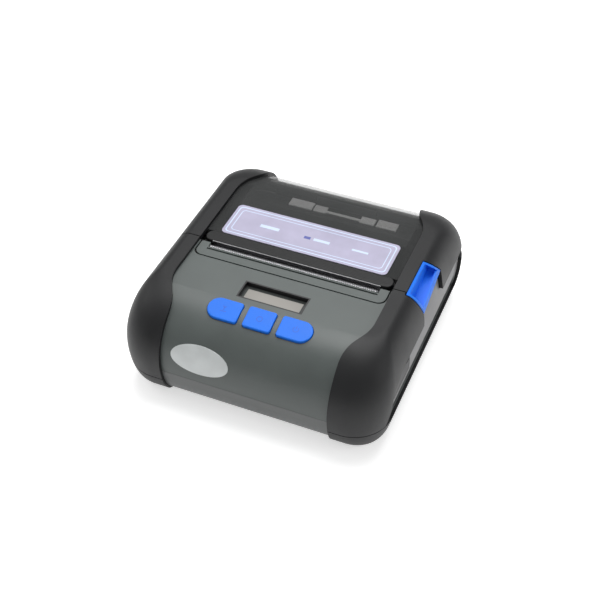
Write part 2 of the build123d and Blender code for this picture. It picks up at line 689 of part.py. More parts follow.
def platen_roller():
    return rod(-PLATEN_HALF, PLATEN_HALF, *PLATEN, PLATEN_R) - rod(-PLATEN_HALF, PLATEN_HALF, *PLATEN, SHAFT_R)


def platen_shaft():
    shaft = rod(-PLATEN_HALF, PLATEN_HALF, *PLATEN, SHAFT_R)
    return shaft + rod(GEAR_X0 - 0.4, HOOK_X1 + 0.5, *PLATEN, SHAFT_END_R)


def platen_bushes():
    end = FRAME_X + FRAME_T + 0.3
    bush = rod(CHEEK_X, end, *PLATEN, BUSH_R) - rod(CHEEK_X, end, *PLATEN, SHAFT_END_R + FIT)
    return Compound([bush.solid(), mirrored(bush).solid()])


def idler_pin():
    inner = -FRAME_X
    return rod(GEAR_X0 - 0.5, inner, *IDLER, 1.95) + rod(GEAR_X1 + 0.3, inner - FRAME_T, *IDLER, 2.9)


def motor():
    """Stepper motor on the left side plate."""
    face = -FRAME_X
    body = rod(face, face + 1.0 + MOTOR_LENGTH, *PINION, MOTOR_R)
    body += slab(face, face + 1.0, PINION[0] - 12.5, PINION[0] + 12.5, PINION[1] - 4, PINION[1] + 4)
    return body - rod(face - 1, face + MOTOR_LENGTH - 4, *PINION, MOTOR_SHAFT_R + FIT)


def motor_shaft():
    return rod(GEAR_X0 - 0.4, -FRAME_X + MOTOR_LENGTH - 4.5, *PINION, MOTOR_SHAFT_R)


def latch_shaft():
    return rod(-HOOK_X1, HOOK_X1, LATCH_Y, LATCH_Z, LATCH_R)


TAIL_PIN = (-5.0, 43.2)
TAIL_PIN_R = 1.2


def latch_hook(right):
    """Hook beside the platen shaft's end. Its nose stops just short of the shaft's way up."""
    corners = [(LATCH_Y - 4.0, LATCH_Z - 1, 2.0), (LATCH_Y - 4.5, 44.5, 2.0), (3.0, 48.6), (2.0, 50.6), (3.2, 53.0, 1.0)]
    corners += [(7.5, 53.0, 1.5), (LATCH_Y + 3.0, 44.0, 2.0), (LATCH_Y + 4.0, LATCH_Z - 1, 2.0)]
    hook = plate(corners, HOOK_X0, HOOK_X1)
    hook += rod(HOOK_X0, HOOK_X1, LATCH_Y, LATCH_Z, 4.2)
    if right:
        tail = [(LATCH_Y, LATCH_Z - 3.2), (LATCH_Y, LATCH_Z + 3.0), (2.0, 41.6), (-6.6, 44.6, 1.0)]
        tail += [(-6.6, 41.6, 1.0), (0.0, 38.4)]
        hook += plate(tail, HOOK_X0, HOOK_X1)
        hook += rod(HOOK_X1 - 0.5, HOOK_X1 + 2.3, *TAIL_PIN, TAIL_PIN_R)
    hook -= rod(HOOK_X0 - 1, HOOK_X1 + 0.01, LATCH_Y, LATCH_Z, LATCH_R)
    return hook if right else mirrored(hook)


def release_lever():
    """Finger scoop in the right shoulder, with the foot that lifts the latch's tail."""
    y0, z0, y1, z1 = -4.4, 47.2, 28.9, 51.6
    corners = [(-11.5, 70.0), (y0, z0), (y1, z1), (y1, z1 + 0.8), (14.9, 70.0)]
    block = body_form(0.15) & plate(corners, LEVER_X0, FAR)
    pocket = plate([(-9.6, 70.0), (-3.0, 48.6, 2.0), (27.0, 52.7, 1.0), (13.4, 70.0)], LEVER_X0 + 1.5, FAR)
    lip = plate([(-9.6, 40.0), (-9.6, 49.3), (27.1, 54.3), (27.1, 40.0)], LEVER_X0, FAR) - body_form(1.3)
    block -= pocket - lip
    top = TAIL_PIN[1] - TAIL_PIN_R - 0.15
    column = slab(HOOK_X1 + 3.6, HOOK_X1 + 5.9, TAIL_PIN[0] - 1.8, TAIL_PIN[0] + 2.4, top - 1.6, 47.6)
    column += slab(LEVER_X0, HOOK_X1 + 5.9, TAIL_PIN[0] + 0.8, TAIL_PIN[0] + 6.0, 46.0, 49.0)
    foot = slab(HOOK_X1 + 1.2, HOOK_X1 + 4.0, TAIL_PIN[0] - 1.8, TAIL_PIN[0] + 1.8, top - 1.6, top)
    block += column + foot
    for y in LEVER_ARMS:
        root = z0 + (y + LEVER_ARM_W - y0) / (y1 - y0) * (z1 - z0) + 0.4
        arm = [(LEVER_X0, root), (LEVER_X0, 46.5), (LEVER_PIN_X - 1.6, 43.4), (LEVER_PIN_X + 1.2, 45.0)]
        arm += [(LEVER_PIN_X + 1.2, root)]
        face = Plane.XZ.offset(-y) * make_face(Polyline(*arm, close=True))
        block += extrude(face, amount=LEVER_ARM_W, dir=(0, 1, 0))
        block += rod_y(y, y + LEVER_ARM_W, LEVER_PIN_X, LEVER_PIN_Z, LEVER_BOSS_R)
    return block - rod_y(-8, 34, LEVER_PIN_X, LEVER_PIN_Z, LEVER_PIN_R + FIT)


def lever_pin():
    return rod_y(LEVER_ARMS[0], LEVER_ARMS[1] + LEVER_ARM_W, LEVER_PIN_X, LEVER_PIN_Z, LEVER_PIN_R)


def paper_well():
    """Cradle for the paper roll, with slots for the guides' stems."""
    outer_r = WELL_R + WELL_T
    half = WELL_HALF + 1.2
    top = 41.0
    front = WELL_Y - outer_r
    back = WELL_Y + outer_r
    well = rod(-half, half, WELL_Y, WELL_Z, outer_r) & slab(-FAR, FAR, -FAR, FAR, 0, WELL_Z)
    well += slab(-half, half, front, back, WELL_Z, top)
    hollow = rod(-WELL_HALF, WELL_HALF, WELL_Y, WELL_Z, WELL_R)
    hollow += slab(-WELL_HALF, WELL_HALF, WELL_Y - WELL_R, WELL_Y + WELL_R, WELL_Z, FAR)
    well -= hollow
    well -= slab(-FAR, FAR, back - 3, FAR, 36.4, FAR)
    well += slab(-half, half, back - 0.5, HINGE_Y - BARREL_END_R - 1.2, 35.0, 36.4)
    for side in (-1, 1):
        y0 = WELL_Y - (GUIDE_STEM_Y1 if side > 0 else -GUIDE_STEM_Y0) - GAP
        y1 = WELL_Y - (GUIDE_STEM_Y0 if side > 0 else -GUIDE_STEM_Y1) + GAP
        x0 = GUIDE_X - GUIDE_TRAVEL - GAP
        x1 = GUIDE_X + GUIDE_T + GAP
        well -= slab(min(side * x0, side * x1), max(side * x0, side * x1), y0, y1, 0, WELL_Z - 10)
    return well


GUIDE_STEM_Y0 = 1.0
GUIDE_STEM_Y1 = RACK_M * RACK_TEETH / 2 + RACK_W
RACK_Y = RACK_M * RACK_TEETH / 2


def rack(length_in):
    """Toothed bar under the left guide, from its stem to just past the pinion."""
    x0 = -GUIDE_X - GUIDE_T
    pitch = pi * RACK_M
    corners = [(x0, RACK_Y + RACK_W), (x0, RACK_Y + 1.1 * RACK_M)]
    first = ceil((x0 + pitch) / pitch)
    last = int(length_in / pitch)
    slope = tan(radians(20)) * RACK_M
    quarter = pitch / 4 - 0.06
    for i in range(first, last):
        x = (i + 0.5) * pitch
        corners.append((x - quarter - 1.1 * slope, RACK_Y + 1.1 * RACK_M))
        corners.append((x - quarter + 0.8 * slope, RACK_Y - 0.8 * RACK_M))
        corners.append((x + quarter - 0.8 * slope, RACK_Y - 0.8 * RACK_M))
        corners.append((x + quarter + 1.1 * slope, RACK_Y + 1.1 * RACK_M))
    corners += [(length_in + 1, RACK_Y + 1.1 * RACK_M), (length_in + 1, RACK_Y + RACK_W)]
    face = Pos(0, WELL_Y) * make_face(Polyline(*corners, close=True))
    return flat(face, RACK_Z0, RACK_Z1)


def guide_left():
    """Left roll guide: disc, hub for the core, stem through the well's slot, rack."""
    x1 = -GUIDE_X
    x0 = x1 - GUIDE_T
    disc = rod(x0, x1, WELL_Y, WELL_Z, GUIDE_R)
    hub = rod(x1, x1 + HUB_LENGTH, WELL_Y, WELL_Z, HUB_R)
    hub = fillet(hub.faces().sort_by(Axis.X)[-1].edges(), 1.5)
    stem = slab(x0, x1, WELL_Y + GUIDE_STEM_Y0, WELL_Y + GUIDE_STEM_Y1, RACK_Z0, WELL_Z - GUIDE_R + 4)
    guide = disc + hub + stem + rack(7.0)
    for i in range(3):
        angle = radians(90 + 120 * i)
        guide -= rod(x0 - 1, x1 + 1, WELL_Y + 12 * cos(angle), WELL_Z + 12 * sin(angle), 3.4)
    return guide


def guide_right():
    return Pos(0, WELL_Y, 0) * Rot(0, 0, 180) * Pos(0, -WELL_Y, 0) * guide_left()


def guide_pinion():
    face = Pos(0, WELL_Y) * gear_outline(RACK_TEETH, RACK_M, 90)
    return flat(face, RACK_Z0, RACK_Z1) - post(0, WELL_Y, 0, FAR, SHAFT_END_R)


def battery_pack():
    half_x = BATTERY[0] / 2
    half_y = BATTERY[1] / 2
    pack = slab(-half_x, half_x, BATTERY_Y - half_y, BATTERY_Y + half_y, BATTERY_Z0, BATTERY_Z0 + BATTERY[2])
    return fillet(pack.edges().filter_by(Axis.X), 3.0)


def battery_cover():
    half_y = BATTERY[1] / 2
    return slab(-FOOT + GAP, FOOT - GAP, BATTERY_Y - half_y, BATTERY_Y + half_y, BASE_LIFT, FLOOR_TOP)


def main_board():
    """Board over the battery, with its larger parts."""
    board = slab(-BOARD_HALF, BOARD_HALF, BOARD_Y0, BOARD_Y1, BOARD_Z, BOARD_Z + BOARD_T)
    corner = slab(-FAR, FAR, -FAR, FAR, 0, FAR) - body_form(BUMPER_T + WALL + 1.0, FLOOR_TOP)
    board -= corner
    top = BOARD_Z + BOARD_T
    board += slab(-12, 6, -60, -44, top - 0.1, top + 1.2)
    board += slab(14, 26, -52, -42, top - 0.1, top + 1.0)
    board += slab(-40, -24, -38, -33, top - 0.1, top + 6.0)
    for x in (-50, -44, 36, 44):
        board += post(x, -56, top - 0.1, top + 8.0, 2.6)
    return board


def usb_socket():
    z = BOARD_Z + BOARD_T
    shell = slab(61, 73.6, -50.0, -41.4, z, z + 3.6)
    return shell - slab(64, 74, -49.4, -42.0, z + 0.6, z + 3.0)


def power_jack():
    z = BOARD_Z + BOARD_T
    body = slab(60, 73.6, -39.6, -30.6, z, z + 8.4)
    body -= rod(63, 74, -35.1, z + 4.2, 3.0)
    return body + rod(62.5, 72.4, -35.1, z + 4.2, 0.9)


def port_flap():
    """Rubber flap over the ports, with a nail notch in its back top corner."""
    skin = HOUSING - body_form(BUMPER_T + FLAP_T, FLOOR_TOP)
    hinge_z = FLAP_Z0 + GAP + FLAP_HINGE_R
    flap = skin & slab(MID_HALF, FAR, FLAP_Y0 + GAP, FLAP_Y1 - GAP, hinge_z, FLAP_Z1 - GAP)
    flap += rod_y(FLAP_Y0 + GAP, FLAP_Y1 - GAP, SKIN_X - FLAP_HINGE_R, hinge_z, FLAP_HINGE_R)
    return flap - rod_y(FLAP_Y1 - 6.0, FLAP_Y1 - 1.5, SKIN_X + 0.4, FLAP_Z1 - 1.4, 1.5)


def hinge_pin():
    return rod(-BARREL_HALF, BARREL_HALF, HINGE_Y, HINGE_Z, HINGE_PIN_R)


def housing_screws():
    screws = []
    for x, y in POSTS:
        screw = post(x, y, BASE_LIFT + 0.3, FLOOR_TOP, SCREW_HEAD_R) + post(x, y, FLOOR_TOP, 13.5, SCREW_R)
        screws.append(screw.solid())
    return Compound(screws)


PIECES = {
    "lower_housing": lower_housing,
    "upper_housing": upper_housing,
    "rear_panel": rear_panel,
    "side_panel_left": lambda: side_panel(False),
    "side_panel_right": lambda: side_panel(True),
    "front_bumper_left": lambda: mirrored(front_bumper(False)),
    "front_bumper_right": lambda: front_bumper(True),
    "lower_bumper_left": lambda: mirrored(lower_bumper()),
    "lower_bumper_right": lower_bumper,
    "mouth_bezel": mouth_bezel,
    "tear_bar": tear_bar,
    "front_badge": front_badge,
    "lcd_bezel": lcd_bezel,
    "lcd_glass": lcd_glass,
    "lcd_module": lcd_module,
    "key_mat": key_mat,
    "key_board": key_board,
    "print_frame": print_frame,
    "thermal_head": thermal_head,
    "heat_sink": heat_sink,
    "head_springs": head_springs,
    "motor": motor,
    "idler_pin": idler_pin,
    "paper_well": paper_well,
    "battery_pack": battery_pack,
    "battery_cover": battery_cover,
    "main_board": main_board,
    "usb_socket": usb_socket,
    "power_jack": power_jack,
    "hinge_pin": hinge_pin,
    "lever_pin": lever_pin,
    "housing_screws": housing_screws,
    "lid_frame": lid_frame,
    "lid_window": lid_window,
    "lid_front_strip": lid_front_strip,
    "lid_edge_trim": lid_edge_trim,
    "lid_label": lid_label,
    "lid_bumper_left": lambda: lid_bumper(False),
    "lid_bumper_right": lambda: lid_bumper(True),
    "platen_bushes": platen_bushes,
    "platen_roller": platen_roller,
    "platen_shaft": platen_shaft,
    "platen_gear": lambda: gear(PLATEN_TEETH, PLATEN, IDLER_ANGLE + 180 / PLATEN_TEETH, SHAFT_END_R),
    "idler_gear": lambda: gear(IDLER_TEETH, IDLER, IDLER_PHASE, 2.0),
    "motor_pinion": lambda: gear(PINION_TEETH, PINION, PINION_PHASE, MOTOR_SHAFT_R),
    "motor_shaft": motor_shaft,
    "latch_shaft": latch_shaft,
    "latch_hook_left": lambda: latch_hook(False),
    "latch_hook_right": lambda: latch_hook(True),
    "release_lever": release_lever,
    "feed_key": lambda: key(-1),
    "select_key": lambda: key(0),
    "power_key": lambda: key(1),
    "guide_left": guide_left,
    "guide_right": guide_right,
    "guide_pinion": guide_pinion,
    "port_flap": port_flap,
}

os.makedirs("parts", exist_ok=True)
for name, make in PIECES.items():
    export_step(Pos(0, -MIDDLE_Y, 0) * make(), f"parts/{name}.step")
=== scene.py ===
import json
import math

import bpy
from mathutils import Matrix, Vector

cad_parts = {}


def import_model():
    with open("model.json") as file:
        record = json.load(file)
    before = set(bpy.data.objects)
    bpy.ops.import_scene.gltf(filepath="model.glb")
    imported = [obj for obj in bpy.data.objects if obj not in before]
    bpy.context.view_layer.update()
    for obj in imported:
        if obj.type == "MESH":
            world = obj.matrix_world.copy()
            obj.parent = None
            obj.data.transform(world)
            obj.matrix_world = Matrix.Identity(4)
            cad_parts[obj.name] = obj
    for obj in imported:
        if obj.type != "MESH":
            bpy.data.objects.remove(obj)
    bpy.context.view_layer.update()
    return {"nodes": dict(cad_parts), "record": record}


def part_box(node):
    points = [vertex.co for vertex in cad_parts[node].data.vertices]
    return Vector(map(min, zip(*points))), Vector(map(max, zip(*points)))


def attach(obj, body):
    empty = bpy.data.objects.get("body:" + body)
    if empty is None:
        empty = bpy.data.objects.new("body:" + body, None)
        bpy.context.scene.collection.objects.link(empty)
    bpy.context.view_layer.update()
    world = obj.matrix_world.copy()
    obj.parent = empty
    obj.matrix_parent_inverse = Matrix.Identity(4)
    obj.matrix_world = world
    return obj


MM = 0.001

# Camera fitted to the photo's outlines: place in metres, angles in degrees, lens and sensor in millimetres
CAMERA_PLACE = (0.1892, -0.4579, 0.4841)
CAMERA_TILT = 47.12
CAMERA_TURN = 22.51
CAMERA_LENS = 67.64
CAMERA_SENSOR = 36.0
CAMERA_NEAR = 0.01

# Stage: metres for the floor, strengths for its glow and the world
FLOOR_SIZE = 8.0
FLOOR_DROP = 0.0002
FLOOR_COLOUR = (0.86, 0.86, 0.86)
FLOOR_ROUGH = 0.9
FLOOR_GLOW = 0.55
WORLD_LEVEL = 0.40
WHITE = (1, 1, 1, 1)

# Lamps: name, place, edge length, power
LAMPS = [
    ("top_light", (-0.05, 0.30, 0.9), 0.7, 7.0),
    ("left_light", (-0.8, 0.0, 0.6), 0.6, 1.6),
    ("right_light", (0.9, 0.0, 0.5), 0.5, 1.3),
]

# Colours, linear
GREY_BODY = (0.091, 0.106, 0.102)
# Side panels: the body's own paint, painted lighter for the side light they catch
GREY_PANEL_SIDE_LIT = (0.150, 0.150, 0.156)
# Lower front strip: the body's own paint, painted lighter for the light the table throws up onto it
GREY_LOWER_TABLE_LIT = (0.135, 0.142, 0.142)
BUMPER = (0.0085, 0.0088, 0.0098)
LID_BLACK = (0.012, 0.012, 0.013)
SMOKE = (0.080, 0.083, 0.083)
STRIP = (0.009, 0.0093, 0.0097)
BLUE = (0.016, 0.185, 0.86)
LILAC = (0.44, 0.42, 0.56)
LILAC_PALE = (0.62, 0.72, 0.90)
MARK_BLUE = (0.10, 0.12, 0.38)
KEY_MARK = (0.016, 0.125, 0.70)
SILVER = (0.66, 0.69, 0.69)
PANE = (0.30, 0.285, 0.262)
# Dark display glass; around the pale pane it is partly the frame and partly painted shade of the recess
PANE_DARK = (0.060, 0.066, 0.064)
STEEL = (0.55, 0.55, 0.56)
BRIGHT = (0.80, 0.80, 0.82)
ALU = (0.62, 0.63, 0.64)
BRASS = (0.68, 0.46, 0.18)
PLATEN = (0.020, 0.020, 0.021)
NYLON = (0.66, 0.64, 0.58)
BOARD = (0.02, 0.13, 0.05)
CERAMIC = (0.62, 0.58, 0.48)
SILICONE = (0.32, 0.32, 0.33)
BATTERY = (0.03, 0.03, 0.034)
PAPER = (0.92, 0.91, 0.90)
CHIP = (0.02, 0.02, 0.022)

# Surfaces: colour, roughness, tone spread, tone scale, grain scale, bump strength, bump depth in millimetres
SURFACES = {
    "body": (GREY_BODY, 0.42, 0.06, 40.0, 1400.0, 0.22, 0.04),
    # Side panels: the body's paint, painted lighter for side light
    "panel": (GREY_PANEL_SIDE_LIT, 0.45, 0.05, 40.0, 1400.0, 0.2, 0.04),
    # Lower front strip: the body's paint, painted lighter for light from the table
    "lower": (GREY_LOWER_TABLE_LIT, 0.45, 0.06, 40.0, 1400.0, 0.2, 0.04),
    "bumper": (BUMPER, 0.50, 0.15, 50.0, 1100.0, 0.35, 0.06),
    "smoked": (SMOKE, 0.10, 0.1, 25.0, 300.0, 0.04, 0.02),
    "black": (LID_BLACK, 0.38, 0.15, 50.0, 1200.0, 0.2, 0.04),
    "black_gloss": (LID_BLACK, 0.16, 0.1, 40.0, 700.0, 0.05, 0.02),
    "blue": (BLUE, 0.42, 0.05, 60.0, 1200.0, 0.12, 0.03),
    "label": (LILAC, 0.35, 0.07, 90.0, 600.0, 0.05, 0.02),
    "label_pale": (LILAC_PALE, 0.38, 0.04, 90.0, 600.0, 0.05, 0.02),
    "label_ink": (MARK_BLUE, 0.45, 0.1, 200.0, 600.0, 0.05, 0.02),
    "badge": (SILVER, 0.42, 0.05, 120.0, 2500.0, 0.15, 0.02),
    "pane": (PANE, 0.30, 0.04, 60.0, 900.0, 0.04, 0.02),
    "pane_dark": (PANE_DARK, 0.14, 0.1, 60.0, 900.0, 0.04, 0.02),
    "steel": (STEEL, 0.32, 0.12, 40.0, 300.0, 0.2, 0.03),
    "bright": (BRIGHT, 0.14, 0.05, 40.0, 300.0, 0.06, 0.02),
    "alu": (ALU, 0.38, 0.1, 40.0, 300.0, 0.25, 0.03),
    "brass": (BRASS, 0.3, 0.1, 80.0, 600.0, 0.15, 0.03),
    "platen": (PLATEN, 0.6, 0.15, 80.0, 1400.0, 0.3, 0.05),
    "nylon": (NYLON, 0.45, 0.06, 80.0, 900.0, 0.15, 0.03),
    "board": (BOARD, 0.4, 0.2, 200.0, 900.0, 0.2, 0.03),
    "ceramic": (CERAMIC, 0.4, 0.08, 120.0, 900.0, 0.1, 0.02),
    "silicone": (SILICONE, 0.6, 0.08, 80.0, 900.0, 0.2, 0.03),
    "battery": (BATTERY, 0.5, 0.12, 60.0, 1000.0, 0.2, 0.04),
    "paper": (PAPER, 0.7, 0.04, 150.0, 1200.0, 0.15, 0.02),
    "key_mark": (KEY_MARK, 0.5, 0.05, 150.0, 900.0, 0.05, 0.02),
    "chip": (CHIP, 0.45, 0.15, 150.0, 1200.0, 0.2, 0.03),
}

# Settings that only a few surfaces have
BRUSHED_METAL = {"metallic": 1.0, "stretch": (1.0, 30.0, 30.0)}
SPECIAL = {
    "bumper": {"shine": 0.38},
    "blue": {"shine": 0.25},
    "badge": {"metallic": 0.15},
    "steel": BRUSHED_METAL,
    "bright": BRUSHED_METAL,
    "alu": BRUSHED_METAL,
    "brass": {"metallic": 1.0},
}

# Pattern values that all mottled surfaces share
TONE_DETAIL = 4.0
GRAIN_DETAIL = 2.0
TONE_LOW = 0.3
TONE_HIGH = 0.7
ROUGH_SPREAD = 0.1

# Cover's transparency and the ribs of the lid's front strip
SMOKED_ALPHA = 0.42
RIB_ROUGH = 0.42
RIB_SHINE = 0.3
RIB_SCALE = 260.0
RIB_WAVER = 0.4
# Rib tones: painted shade in the grooves and a painted highlight on the crests, following the ribs' relief
RIB_GROOVE_SHADE = 0.7
RIB_CREST_HIGHLIGHT = 1.6
RIB_STRENGTH = 0.3
RIB_DEPTH = 0.1

# Look of each material slot, and of the nodes that differ from their slot
SLOT_LOOKS = {
    "body_grey": "body",
    # Side panels take the body's paint, painted lighter for side light
    "panel_grey": "panel",
    "bumper_rubber": "bumper",
    "smoked": "smoked",
    "dark_plastic": "black",
    "blue": "blue",
    "label_lilac": "label",
    "badge_silver": "badge",
    "lcd_pane": "pane_dark",
    "steel": "steel",
    "bright_steel": "bright",
    "alu": "alu",
    "brass": "brass",
    "platen_rubber": "platen",
    "gear_nylon": "nylon",
    "board_green": "board",
    "ceramic": "ceramic",
    "silicone": "silicone",
    "battery_black": "battery",
}
OWN_LOOKS = {
    # Lower housing takes the body's paint, painted lighter for light from the table
    "lower_housing": "lower",
    "lid_front_strip": "strip",
    "lid_frame": "black_gloss",
    "mouth_bezel": "body",
    "port_flap": "bumper",
    "heat_sink": "black",
}

# Label art in millimetres: borders as inset and width, bars as two ends along x, half width and look
LABEL_LIFT = 0.04
LABEL_BORDERS = {"outer": (1.6, 0.7), "inner": (4.2, 0.5)}
BORDER_CORNER_OUTER = 2.4
BORDER_CORNER_INNER = 2.0
LABEL_BAR_HEIGHT = 0.07
LABEL_BARS = [
    (-32, -20, 1.3, "label_pale"),
    (-4, 0, 1.1, "label_ink"),
    (2, 12, 1.1, "label_pale"),
    (26, 36, 0.8, "label_pale"),
]

# Keys: lean in degrees, place of the middle of the outer keys' tops in millimetres
KEY_TILT = 13.55
KEY_X = 21.35
KEY_Y = -58.73
KEY_TOP = 60.30

# Key marks in millimetres and degrees: bars corner to corner, arcs from start to end
MARK_HEIGHT = 0.06
MARK_RADIUS = 1.6
MARK_LINE = 0.45
FEED_SHEET = ((-1.8, -1.8), (1.8, -1.3))
FEED_STEM = ((-0.25, -1.0), (0.25, 1.8))
FEED_HEAD = ((-0.9, -0.22), (0.9, 0.22))
FEED_HEAD_X = 0.5
FEED_HEAD_Y = 1.25
FEED_HEAD_TURN = 45
SELECT_RING = (0, 359.9)
POWER_ARC = (125, 415)
POWER_BAR = ((-0.24, 0.3), (0.24, 2.2))

# Display pane: margins inside the dark display window and its height, in millimetres; the dark margins,
# widest at the rear, are partly the display's dark frame and partly painted shade of its recess
PANE_SIDE = 3.0
PANE_FRONT = 2.0
PANE_REAR = 3.2
PANE_HEIGHT = 0.08

# Plates under the lid's window in millimetres: depth under its top, thickness, and x0, x1, y0, y1 of each
PLATE_DEPTH = 2.35
PLATE_THICK = 0.8
PLATES = [
    (-26, -11, 43, 50),
    (-10, -2, 43, 49),
    (-2, 20, 44, 46),
    (20, 29, 43, 49),
    (30.5, 43, 43, 50),
]

# Chips on the main board in millimetres: the board's top, then two corners and the height of each
BOARD_TOP = 27.6
CHIPS = {
    "chip_large": ((-12.05, -62.55), (6.05, -46.45), 1.25),
    "chip_small": ((13.95, -54.55), (26.05, -44.45), 1.05),
}

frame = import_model()
nodes = frame["nodes"]


# Materials

def shader(name, colour, rough, metallic=0.0, shine=0.5):
    """New material with its constants on the shader's own sockets."""
    material = bpy.data.materials.new(name)
    material.use_nodes = True
    principled = material.node_tree.nodes["Principled BSDF"]
    principled.inputs["Base Color"].default_value = (*colour, 1)
    principled.inputs["Roughness"].default_value = rough
    principled.inputs["Metallic"].default_value = metallic
    principled.inputs["Specular IOR Level"].default_value = shine
    return material, principled


def add_tones(tree, pattern, principled, dark, light):
    """Base colour that follows a pattern from dark to light; returns its ramp."""
    ramp = tree.nodes.new("ShaderNodeValToRGB")
    ramp.color_ramp.elements[0].color = (*dark, 1)
    ramp.color_ramp.elements[1].color = (*light, 1)
    tree.links.new(pattern.outputs["Fac"], ramp.inputs["Fac"])
    tree.links.new(ramp.outputs["Color"], principled.inputs["Base Color"])
    return ramp.color_ramp


def add_relief(tree, pattern, principled, strength, depth):
    """Bump that follows a pattern, its depth in millimetres."""
    relief = tree.nodes.new("ShaderNodeBump")
    relief.inputs["Strength"].default_value = strength
    relief.inputs["Distance"].default_value = depth * MM
    tree.links.new(pattern.outputs["Fac"], relief.inputs["Height"])
    tree.links.new(relief.outputs["Normal"], principled.inputs["Normal"])


def noise(tree, mapping, scale, detail):
    """Noise pattern in the object's own space."""
    pattern = tree.nodes.new("ShaderNodeTexNoise")
    pattern.inputs["Scale"].default_value = scale
    pattern.inputs["Detail"].default_value = detail
    tree.links.new(mapping.outputs["Vector"], pattern.inputs["Vector"])
    return pattern


def mottled(name, colour, rough, spread, scale, grain, bump, depth,
            metallic=0.0, shine=0.5, stretch=(1, 1, 1)):
    """Material with a faint tone change, a changing roughness and a fine surface grain."""
    material, principled = shader(name, colour, rough, metallic, shine)
    tree = material.node_tree
    place = tree.nodes.new("ShaderNodeTexCoord")
    mapping = tree.nodes.new("ShaderNodeMapping")
    mapping.inputs["Scale"].default_value = stretch
    tree.links.new(place.outputs["Object"], mapping.inputs["Vector"])
    tone = noise(tree, mapping, scale, TONE_DETAIL)
    dark = [c * (1 - spread) for c in colour]
    light = [min(1.0, c * (1 + spread)) for c in colour]
    ramp = add_tones(tree, tone, principled, dark, light)
    ramp.elements[0].position = TONE_LOW
    ramp.elements[1].position = TONE_HIGH
    wear = tree.nodes.new("ShaderNodeMapRange")
    wear.inputs["From Min"].default_value = TONE_LOW
    wear.inputs["From Max"].default_value = TONE_HIGH
    wear.inputs["To Min"].default_value = rough * (1 - ROUGH_SPREAD)
    wear.inputs["To Max"].default_value = min(1.0, rough * (1 + ROUGH_SPREAD))
    tree.links.new(tone.outputs["Fac"], wear.inputs["Value"])
    tree.links.new(wear.outputs["Result"], principled.inputs["Roughness"])
    fine = noise(tree, mapping, grain, GRAIN_DETAIL)
    add_relief(tree, fine, principled, bump, depth)
    return material


def ribbed(name, colour):
    """Dark strip with fine lengthwise ribs, with painted shade in their grooves and a painted highlight on
    their crests.
    """
    material, principled = shader(name, colour, RIB_ROUGH, shine=RIB_SHINE)
    tree = material.node_tree
    place = tree.nodes.new("ShaderNodeTexCoord")
    wave = tree.nodes.new("ShaderNodeTexWave")
    wave.bands_direction = "Y"
    wave.inputs["Scale"].default_value = RIB_SCALE
    wave.inputs["Distortion"].default_value = RIB_WAVER
    tree.links.new(place.outputs["Object"], wave.inputs["Vector"])
    # Painted shade in the grooves, painted highlight on the crests
    dark = [c * RIB_GROOVE_SHADE for c in colour]
    light = [c * RIB_CREST_HIGHLIGHT for c in colour]
    add_tones(tree, wave, principled, dark, light)
    add_relief(tree, wave, principled, RIB_STRENGTH, RIB_DEPTH)
    return material


LOOKS = {look: mottled(look, *values, **SPECIAL.get(look, {})) for look, values in SURFACES.items()}
LOOKS["strip"] = ribbed("strip", STRIP)
LOOKS["smoked"].node_tree.nodes["Principled BSDF"].inputs["Alpha"].default_value = SMOKED_ALPHA


def dress_nodes():
    """Gives every CAD node its material."""
    for part in frame["record"]["subparts"]:
        node = nodes[part["node"]]
        look = OWN_LOOKS.get(part["node"], SLOT_LOOKS[part["material_slot"]])
        node.data.materials.clear()
        node.data.materials.append(LOOKS[look])


# Small visible pieces

def piece(name, vertices, faces, look, body):
    """Mesh piece in millimetres that rides on a body."""
    mesh = bpy.data.meshes.new(name)
    mesh.from_pydata([Vector(v) * MM for v in vertices], [], faces)
    mesh.update()
    mesh.materials.append(LOOKS[look])
    obj = bpy.data.objects.new(name, mesh)
    bpy.context.scene.collection.objects.link(obj)
    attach(obj, body)


def block(name, low, high, look, body, place=None):
    """Rectangular piece between two corners, moved by place."""
    (x0, y0, z0), (x1, y1, z1) = low, high
    corners = [Vector((x, y, z)) for z in (z0, z1) for y in (y0, y1) for x in (x0, x1)]
    if place is not None:
        corners = [place @ c for c in corners]
    faces = [(0, 2, 3, 1), (4, 5, 7, 6), (0, 1, 5, 4), (2, 6, 7, 3), (0, 4, 6, 2), (1, 3, 7, 5)]
    piece(name, corners, faces, look, body)


def box_mm(node):
    """Low and high corner of a CAD node in millimetres."""
    low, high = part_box(node)
    return [v / MM for v in low], [v / MM for v in high]


def arc_points(cx, cy, radius, start, end, steps):
    """Points along an arc about a middle, between two angles in degrees."""
    angles = [math.radians(start + (end - start) * i / steps) for i in range(steps + 1)]
    return [(cx + radius * math.cos(a), cy + radius * math.sin(a)) for a in angles]


def rounded(cx, cy, half_x, half_y, radius, steps=6):
    """Points of a rounded rectangle about a middle, counter-clockwise."""
    points = []
    for side_x, side_y, start in ((1, 1, 0), (-1, 1, 90), (-1, -1, 180), (1, -1, 270)):
        corner_x = cx + side_x * (half_x - radius)
        corner_y = cy + side_y * (half_y - radius)
        points += arc_points(corner_x, corner_y, radius, start, start + 90, steps)
    return points


def ring(name, outer, inner, z0, z1, look, body):
    """Flat frame between two outlines with the same number of points."""
    n = len(outer)
    vertices = [(x, y, z) for outline in (outer, inner) for z in (z0, z1) for x, y in outline]
    faces = [(i, (i + 1) % n, n + (i + 1) % n, n + i) for i in range(n)]
    for i in range(n):
        j = (i + 1) % n
        faces.append((2 * n + j, 2 * n + i, 3 * n + i, 3 * n + j))
        faces.append((n + i, n + j, 3 * n + j, 3 * n + i))
        faces.append((j, i, 2 * n + i, 2 * n + j))
    piece(name, vertices, faces, look, body)


